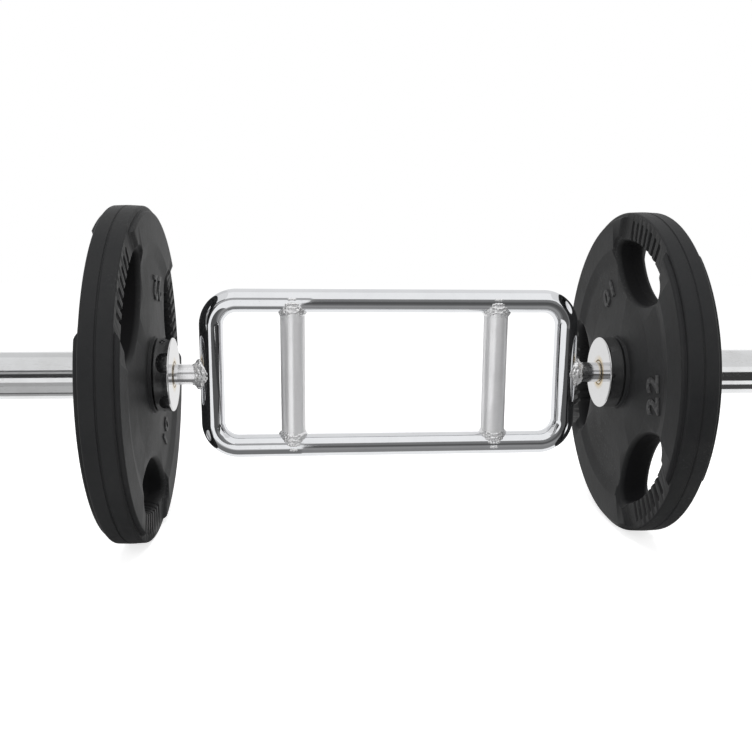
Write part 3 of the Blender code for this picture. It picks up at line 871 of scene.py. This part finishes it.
def bar_profile(face):
    """The sunk face of a grip bar, as (x, radius) points, down to its rounded inner edge."""
    points = []
    for step in range(ARC_STEPS + 3):
        share = step / (ARC_STEPS + 2)
        points.append(
            (
                face - BAR_EDGE_DROP * (1 - sqrt(1 - (1 - share) ** 2)),
                BAR_RADIUS + BAR_EDGE_RUN * (1 - cos(share * pi / 2)) - 0.0002 * (1 - share),
            )
        )
    return points


for side in (-1, 1):
    rings = []
    for step in range(BAR_STEPS + 1):
        along = (BAR_HALF_LENGTH + BAR_END_RUN) * (2 * step / BAR_STEPS - 1)
        past = (abs(along) - BAR_HALF_LENGTH) / BAR_END_RUN
        face = BAR_FACE + (PANEL_FACE + 0.0002 - BAR_FACE) * smooth_step(past)
        line = [(face - BAR_EDGE_DROP, CUT_INSIDE)] + bar_profile(face)
        line += [(face, CUT_RADIUS), (CUT_FACE, CUT_RADIUS), (CUT_FACE, CUT_INSIDE)]
        rings.append([(side * x, along, sqrt(radius**2 - along**2)) for x, radius in line])
    cut_away(jacket, loft("grip_bar_recess", rings, GRIP_TURNS))

FINGER_GROOVES = 7
FINGER_PITCH = radians(4.3)
GROOVE_RADIUS = 0.0028
GROOVE_SINK = 0.0003
GROOVE_REACH = 0.1652
GROOVE_SIDES = 12
half_path = [(BAR_FACE + 0.0030, GROOVE_REACH + 0.0002), (BAR_FACE, GROOVE_REACH - 0.0006)]
half_path += [(BAR_FACE - GROOVE_SINK, GROOVE_REACH - 0.0035)]
half_path += [
    (x - GROOVE_SINK, radius + GROOVE_SINK) for x, radius in reversed(bar_profile(BAR_FACE))
]
path = [Vector(point) for point in half_path]
path += [Vector((-point.x, point.y)) for point in reversed(path)]
rings = []
for number, here in enumerate(path):
    before = path[max(number - 1, 0)]
    after = path[min(number + 1, len(path) - 1)]
    along = (after - before).normalized()
    ring = []
    for step in range(GROOVE_SIDES):
        around = 2 * pi * step / GROOVE_SIDES
        out = GROOVE_RADIUS * cos(around)
        ring.append((here.x - along.y * out, GROOVE_RADIUS * sin(around), here.y + along.x * out))
    rings.append(ring)
groove_turns = [
    grip + (number - (FINGER_GROOVES - 1) / 2) * FINGER_PITCH
    for grip in GRIP_TURNS
    for number in range(FINGER_GROOVES)
]
cut_away(jacket, loft("finger_grooves", rings, groove_turns))

RUBBER_BLACK = (0.018, 0.0185, 0.0195, 1)
RUBBER_BLOOM = (0.028, 0.028, 0.028, 1)
RUBBER_RUBBED = (0.075, 0.078, 0.078, 1)
# Painted shade: the deeper black given to the walls inside the grip holes
RUBBER_PAINTED_SHADE = (0.006, 0.006, 0.0065, 1)
rubber, tree, shader, place = new_material("moulded_rubber", Specular_IOR_Level=0.12)
mottle = noise_over(tree, place, 26.0, 6.0, 0.62)
bloom = noise_over(tree, place, 9.0, 3.0)
specks = noise_over(tree, place, 420.0, 4.0, 0.7)
grain = noise_over(tree, place, 1500.0, 3.0, 0.7)
ripple = noise_over(tree, place, 120.0, 2.0)
cloudy = maths(
    tree,
    "MULTIPLY",
    shade_range(tree, mottle, 0.30, 0.72),
    shade_range(tree, bloom, 0.35, 0.65, 0.3, 1.0),
)
rubbed = maths(
    tree,
    "MULTIPLY",
    shade_range(tree, specks, 0.55, 0.72),
    shade_range(tree, bloom, 0.50, 0.66),
)
used = mixed(tree, rubbed, mixed(tree, cloudy, RUBBER_BLACK, RUBBER_BLOOM), RUBBER_RUBBED)
# Painted shade: the walls of the grip holes get a deeper black base, as if in shadow, and a
# rougher, duller surface
spot = placed(tree, about_axis, {"Vector": place})
depth = maths(tree, "ABSOLUTE", spot["Along"])
depth = maths(tree, "ABSOLUTE", maths(tree, "SUBTRACT", depth, PLATE_X))
shaded_hole_walls = maths(
    tree,
    "MULTIPLY",
    shade_range(tree, depth, 0.0165, 0.0110),
    maths(
        tree,
        "MULTIPLY",
        shade_range(tree, spot["Radius"], 0.0840, 0.0880),
        shade_range(tree, spot["Radius"], 0.1480, 0.1420),
    ),
)
satin = shade_range(tree, cloudy, 0.0, 1.0, 0.48, 0.62)
matt = maths(tree, "MULTIPLY", shaded_hole_walls, 0.85)
height = maths(tree, "ADD", maths(tree, "MULTIPLY", grain, 0.25), ripple)
fill(
    tree,
    shader,
    {
        # the deeper black on the grip holes' walls is painted shade
        "Base Color": mixed(tree, shaded_hole_walls, used, RUBBER_PAINTED_SHADE),
        "Roughness": maths(tree, "MAXIMUM", satin, matt),
        "Normal": relief(tree, height, 0.0002),
    },
)

PLATE_TURNS = {"left": radians(48.75), "right": radians(18.75)}
for side, sign in (("left", -1), ("right", 1)):
    rubber_jacket = copy_of(
        jacket, f"rubber_jacket_{side}", PLATE_TURNS[side], "X", (sign * PLATE_X, 0.0, 0.0)
    )
    hollow = copy_of(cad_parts[f"plate_core_{side}"], "core_hollow")
    hollow.hide_render = False
    bpy.ops.object.mode_set(mode="EDIT")
    bpy.ops.mesh.select_all(action="SELECT")
    bpy.ops.mesh.remove_doubles(threshold=0.00001)
    bpy.ops.transform.shrink_fatten(value=GAP)
    bpy.ops.object.mode_set(mode="OBJECT")
    cut_away(rubber_jacket, hollow)
    finish(
        rubber_jacket, rubber, f"{side}_plate", "rubber", f"plate_rubber_{side}", crease=32
    )
bpy.data.objects.remove(jacket)

# Raised figures: the plates' weights, moulded in one with the rubber of each inner face. They
# are bold block figures with softened edges, their feet towards the rim.
FIGURE_GREY = (0.040, 0.040, 0.041, 1)
FIGURE_WORN = (0.095, 0.096, 0.097, 1)
worn_rubber = rubber.copy()
worn_rubber.name = "worn_rubber"
tree = worn_rubber.node_tree
place = add(tree, "ShaderNodeTexCoord").outputs["Object"]
worn = shade_range(tree, noise_over(tree, place, 300.0, 4.0), 0.35, 0.65)
figure_colour = mixed(tree, worn, FIGURE_GREY, FIGURE_WORN)
fill(tree, tree.nodes["Principled BSDF"], {"Base Color": figure_colour})
FIGURE_BOLDNESS = 0.022
FIGURE_SPACING = 1.16
FIGURE_RISE = 0.0016
FIGURE_ROOT = 0.0006
FIGURE_BEVEL = 0.0005


def web_face(radius):
    """How far the web stands out from the plate's middle, at a distance from the axis."""
    share = (radius - WEB_HUB_RADIUS) / (WEB_FLAT_RADIUS - WEB_HUB_RADIUS)
    return WEB_HUB_FACE + (WEB_FACE - WEB_HUB_FACE) * min(max(share, 0.0), 1.0)


def raised_figures(text, width, height, centre, spread, heading, side):
    """Figures on an inner face, which is seen from the frame.

    Their middle is centre metres out from the axis, at heading degrees up from the plate's
    front, and spread metres to one side of that line.
    """
    sign = -1 if side == "left" else 1
    bpy.ops.object.select_all(action="DESELECT")
    bpy.ops.object.text_add()
    words = bpy.context.object
    words.data.body = text
    words.data.align_x = words.data.align_y = "CENTER"
    words.data.offset = FIGURE_BOLDNESS
    words.data.space_character = FIGURE_SPACING
    words.data.extrude = 0.01
    bpy.ops.object.convert(target="MESH")
    piece = bpy.context.object
    piece.name = piece.data.name = f"figures_{text}_{side}"
    corners = [vert.co for vert in piece.data.vertices]
    low = Vector(min(corner[axis] for corner in corners) for axis in range(3))
    high = Vector(max(corner[axis] for corner in corners) for axis in range(3))
    forward = Vector((0.0, -cos(radians(heading)), sin(radians(heading))))
    inward = Vector((-sign, 0.0, 0.0))
    reading = inward.cross(forward)
    for vert in piece.data.vertices:
        share = [(vert.co[axis] - low[axis]) / (high[axis] - low[axis]) for axis in range(3)]
        out = centre - (share[1] - 0.5) * height
        beside = spread + (share[0] - 0.5) * width
        lift = web_face(hypot(out, beside)) - FIGURE_ROOT + share[2] * (FIGURE_ROOT + FIGURE_RISE)
        vert.co = (
            Vector((sign * PLATE_X, 0.0, AXIS)) + out * forward + beside * reading + lift * inward
        )
    pick(piece)
    bpy.ops.object.mode_set(mode="EDIT")
    close_up(piece)
    edges = piece.modifiers.new("edges", "BEVEL")
    edges.width = FIGURE_BEVEL
    edges.segments = 2
    edges.limit_method = "ANGLE"
    edges.angle_limit = radians(50)
    bpy.ops.object.modifier_apply(modifier="edges")
    finish(piece, worn_rubber, f"{side}_plate", "rubber", crease=32)


raised_figures("22", 0.040, 0.0270, 0.0972, -0.0260, 11.25, "right")
raised_figures("10", 0.029, 0.0215, 0.0885, -0.0250, 131.25, "right")
raised_figures("22", 0.040, 0.0270, 0.0925, -0.0280, 97.25, "left")
raised_figures("10", 0.029, 0.0215, 0.0885, -0.0245, 217.25, "left")

# Stage: a pale floor that the plates stand on, soft lamps above and in front, and grey cards
# that only the plating mirrors, which draw the dark lines along it.
FLOOR_SIZE = 8.0
FLOOR_GREY = (0.82, 0.82, 0.82, 1)
FLOOR_GLOW = 0.73
ROOM_LIGHT = 0.36
WHITE = (1, 1, 1, 1)


def directly_seen(tree):
    """What the camera sees itself, and that along with what it sees mirrored or through glass."""
    ray = add(tree, "ShaderNodeLightPath").outputs
    mirrored = maths(tree, "MAXIMUM", ray["Is Glossy Ray"], ray["Is Transmission Ray"])
    return ray["Is Camera Ray"], maths(tree, "MAXIMUM", ray["Is Camera Ray"], mirrored)


def bare_material(name):
    """Starts a material with no shader yet, and returns its tree and its output too."""
    material, tree, shader, place = new_material(name)
    tree.nodes.remove(shader)
    return material, tree, tree.nodes["Material Output"]


bpy.ops.object.select_all(action="DESELECT")
bpy.ops.mesh.primitive_plane_add(size=FLOOR_SIZE)
floor = bpy.context.object
floor.name = "studio_floor"
pale, tree, output = bare_material("pale_floor")
in_view, seen = directly_seen(tree)
paint = add(tree, "ShaderNodeBsdfDiffuse", {"Color": FLOOR_GREY}).outputs[0]
glow = add(tree, "ShaderNodeEmission", {"Color": WHITE, "Strength": FLOOR_GLOW}).outputs[0]
white = add(tree, "ShaderNodeEmission", {"Color": WHITE, "Strength": 1.0}).outputs[0]
lit = add(tree, "ShaderNodeAddShader", {0: paint, 1: glow}).outputs[0]
shown = add(tree, "ShaderNodeMixShader", {0: in_view, 1: white, 2: lit}).outputs[0]
surface = add(tree, "ShaderNodeMixShader", {0: seen, 1: paint, 2: shown}).outputs[0]
fill(tree, output, {"Surface": surface})
floor.data.materials.append(pale)

world = bpy.data.worlds.new("studio")
world.use_nodes = True
bpy.context.scene.world = world
tree = world.node_tree
seen = directly_seen(tree)[1]
strength = shade_range(tree, seen, 0.0, 1.0, ROOM_LIGHT, 1.0)
fill(tree, tree.nodes["Background"], {"Color": WHITE, "Strength": strength})

for name, stand, size, power in (
    ("lamp_above", (0.1, -0.5, 1.9), 1.3, 20.0),
    ("lamp_front", (-0.6, -1.9, 1.0), 0.9, 13.0),
):
    lamp = bpy.data.lights.new(name, "AREA")
    lamp.size = size
    lamp.energy = power
    holder = bpy.data.objects.new(name, lamp)
    bpy.context.scene.collection.objects.link(holder)
    holder.location = stand
    aim = Vector((0.0, 0.0, AXIS)) - holder.location
    holder.rotation_euler = aim.to_track_quat("-Z", "Y").to_euler()
    holder.visible_glossy = False

CARD_DISTANCE = 1.4
CARD_STEPS = 8
# How far a low card may come down to the floor, as a share of the axis's height
CARD_DROP = 0.97
# Each card is a strip along X: its two ends, its two heights of view from the bar's axis in
# degrees, and how light a grey it is
cards = (
    (-0.6, 0.8, 90, 150, 0.84),
    (-0.10, 0.85, 8, 22, 0.24),
    (-0.10, 0.85, -5, 8, 0.19),
    (-0.10, 0.50, -24, -5, 0.10),
    (-0.10, 0.33, -34, -24, 0.17),
    (-0.10, 0.33, -56, -34, 0.30),
    (-0.10, 0.33, -80, -56, 0.26),
    (-0.6, -0.10, 12, 32, 0.42),
    (-0.3, -0.10, -50, -40, 0.45),
    (-0.3, -0.10, -85, -50, 0.20),
    (0.8, 2.5, 33, 150, 0.81),
    (0.85, 2.5, -38, 6.5, 0.05),
    (0.50, 0.85, -24, -5, 0.05),
    (0.33, 0.85, -38, -24, 0.05),
    (0.33, 2.5, -90, -58, 0.07),
    (-2.5, -0.6, 105, 150, 0.70),
    (-2.5, -0.6, 33, 105, 0.83),
    (-2.5, -0.6, 26, 33, 0.12),
    (-2.5, -0.6, 16, 26, 0.43),
    (-1.05, -0.6, -3, 16, 0.05),
    (-2.5, -1.05, -3, 16, 0.20),
    (-2.5, -0.3, -42, -24, 0.44),
    (-2.5, -0.3, -77, -42, 0.52),
    (-2.5, -0.3, -86, -77, 0.14),
    (-2.5, -0.3, -102, -86, 0.40),
)
for number, (start, end, low, high, grey) in enumerate(cards):
    bpy.ops.object.select_all(action="DESELECT")
    bpy.ops.mesh.primitive_grid_add(x_subdivisions=1, y_subdivisions=CARD_STEPS, size=1.0)
    card = open_up(f"card_{number}")
    mesh = bmesh.from_edit_mesh(card.data)
    for vert in mesh.verts:
        tilt = radians(low + (high - low) * (vert.co.y + 0.5))
        reach = CARD_DISTANCE
        if tilt < 0:
            reach = min(reach, AXIS * CARD_DROP / sin(-tilt))
        x = end if vert.co.x > 0 else start
        vert.co = (x, -reach * cos(tilt), AXIS + reach * sin(tilt))
    bmesh.update_edit_mesh(card.data)
    bpy.ops.object.mode_set(mode="OBJECT")
    card_grey, tree, output = bare_material(f"card_grey_{number}")
    shade = add(tree, "ShaderNodeEmission", {"Color": (grey, grey, grey, 1)}).outputs[0]
    fill(tree, output, {"Surface": shade})
    card.data.materials.append(card_grey)
    card.visible_camera = False
    card.visible_diffuse = False
    card.visible_shadow = False
    card.visible_transmission = False

# Camera: at the height of the bar and a little to its left, as the photograph was taken. The
# frame leans towards it there, so the camera looks down on the upright model by that lean.
IMAGE_SIZE = 752
SENSOR_WIDTH = 36.0
FOCAL_PIXELS = 823.0
MIDDLE_X, MIDDLE_Y = 394.8, 383.2
LEAN = 0.1738
HEADING, DIP, ROLL = 0.0998, 0.0121, -0.0057
CAMERA_X, CAMERA_Y = -0.08628, -0.89345
camera = bpy.data.cameras.new("camera")
camera.sensor_width = SENSOR_WIDTH
camera.lens = SENSOR_WIDTH * FOCAL_PIXELS / IMAGE_SIZE
camera.shift_x = (IMAGE_SIZE / 2 - MIDDLE_X) / IMAGE_SIZE
camera.shift_y = (MIDDLE_Y - IMAGE_SIZE / 2) / IMAGE_SIZE
lean = Matrix.Rotation(-LEAN, 3, "X")
ahead = lean @ Vector((sin(HEADING) * cos(DIP), cos(HEADING) * cos(DIP), -sin(DIP)))
across = lean @ Vector((cos(HEADING), -sin(HEADING), 0.0))
upward = across.cross(ahead)
across, upward = across * cos(ROLL) + upward * sin(ROLL), upward * cos(ROLL) - across * sin(ROLL)
stand = Matrix((across, upward, -ahead)).transposed().to_4x4()
stand.translation = lean @ Vector((CAMERA_X, CAMERA_Y, 0.0)) + Vector((0.0, 0.0, AXIS))
viewpoint = bpy.data.objects.new("camera", camera)
bpy.context.scene.collection.objects.link(viewpoint)
viewpoint.matrix_world = stand
bpy.context.scene.camera = viewpoint
bpy.context.scene.view_settings.view_transform = "Standard"
